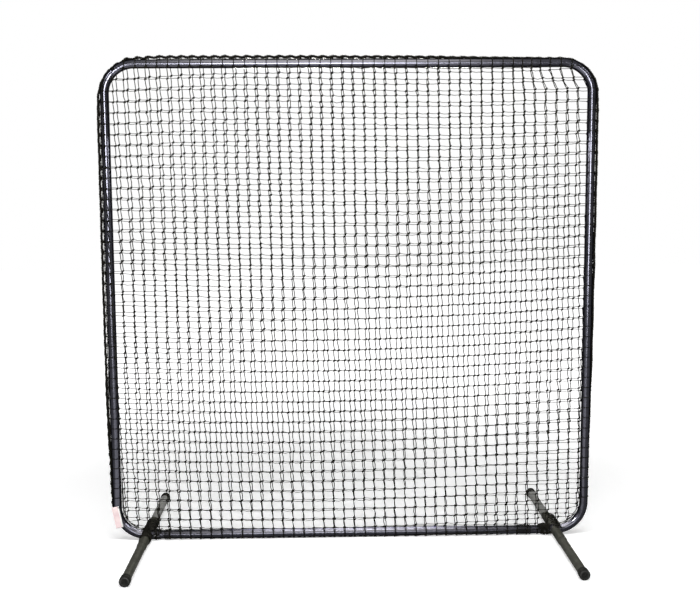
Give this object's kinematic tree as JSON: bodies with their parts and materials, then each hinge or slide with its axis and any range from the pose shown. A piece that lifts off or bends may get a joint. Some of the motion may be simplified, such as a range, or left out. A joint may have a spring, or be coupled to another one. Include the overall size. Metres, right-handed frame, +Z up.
{
  "type": "fielding screen",
  "caption": "Free-standing square tube frame in a double knotted net, for protecting a fielder, on sliding tube feet that run front to back.",
  "frame": {"origin": "on the floor, midway between the two feet, in the plane of the frame", "axes": "+X along the screen, +Y from the front to the back along the feet, +Z up"},
  "size_m": [2.1638, 1.143, 2.13],
  "materials": {
    "frame_black": "glossy black powder coat",
    "foot_grey": "matte dark grey coat",
    "cap_black": "matte black vinyl",
    "bolt_black": "black zinc",
    "net_black": "black knotted twine",
    "rope_black": "black braided cord",
    "tag_pink": "pale woven label, bare"
  },
  "bodies": {
    "frame": {"top_rail": "frame_black", "bottom_rail": "frame_black", "left_rail": "frame_black", "right_rail": "frame_black", "top_left_elbow": "frame_black", "top_right_elbow": "frame_black", "bottom_left_elbow": "frame_black", "bottom_right_elbow": "frame_black", "left_foot_sleeve": "frame_black", "right_foot_sleeve": "frame_black", "left_rail_socket": "frame_black", "right_rail_socket": "frame_black", "left_mouth_bolt": "bolt_black", "left_mouth_nut": "bolt_black", "left_sleeve_bolt": "bolt_black", "left_sleeve_nut": "bolt_black", "right_mouth_bolt": "bolt_black", "right_mouth_nut": "bolt_black", "right_sleeve_bolt": "bolt_black", "right_sleeve_nut": "bolt_black", "top_left_rail_screw": "bolt_black", "top_right_rail_screw": "bolt_black", "upper_left_side_screw": "bolt_black", "upper_right_side_screw": "bolt_black", "lower_left_side_screw": "bolt_black", "lower_right_side_screw": "bolt_black", "front_net": "net_black", "back_net": "net_black", "border_rope": "rope_black", "bottom_lacing": "rope_black", "net_tag": "tag_pink"},
    "left_foot": {"left_foot_tube": "foot_grey", "left_front_cap": "cap_black", "left_rear_cap": "cap_black"},
    "right_foot": {"right_foot_tube": "foot_grey", "right_front_cap": "cap_black", "right_rear_cap": "cap_black"}
  },
  "joints": [
    {"name": "left_foot_slide", "type": "slide", "parent": "frame", "child": "left_foot", "axis": [0, 1, 0], "range_m": [-0.341, 0.369]},
    {"name": "right_foot_slide", "type": "slide", "parent": "frame", "child": "right_foot", "axis": [0, 1, 0], "range_m": [-0.341, 0.369]}
  ]
}
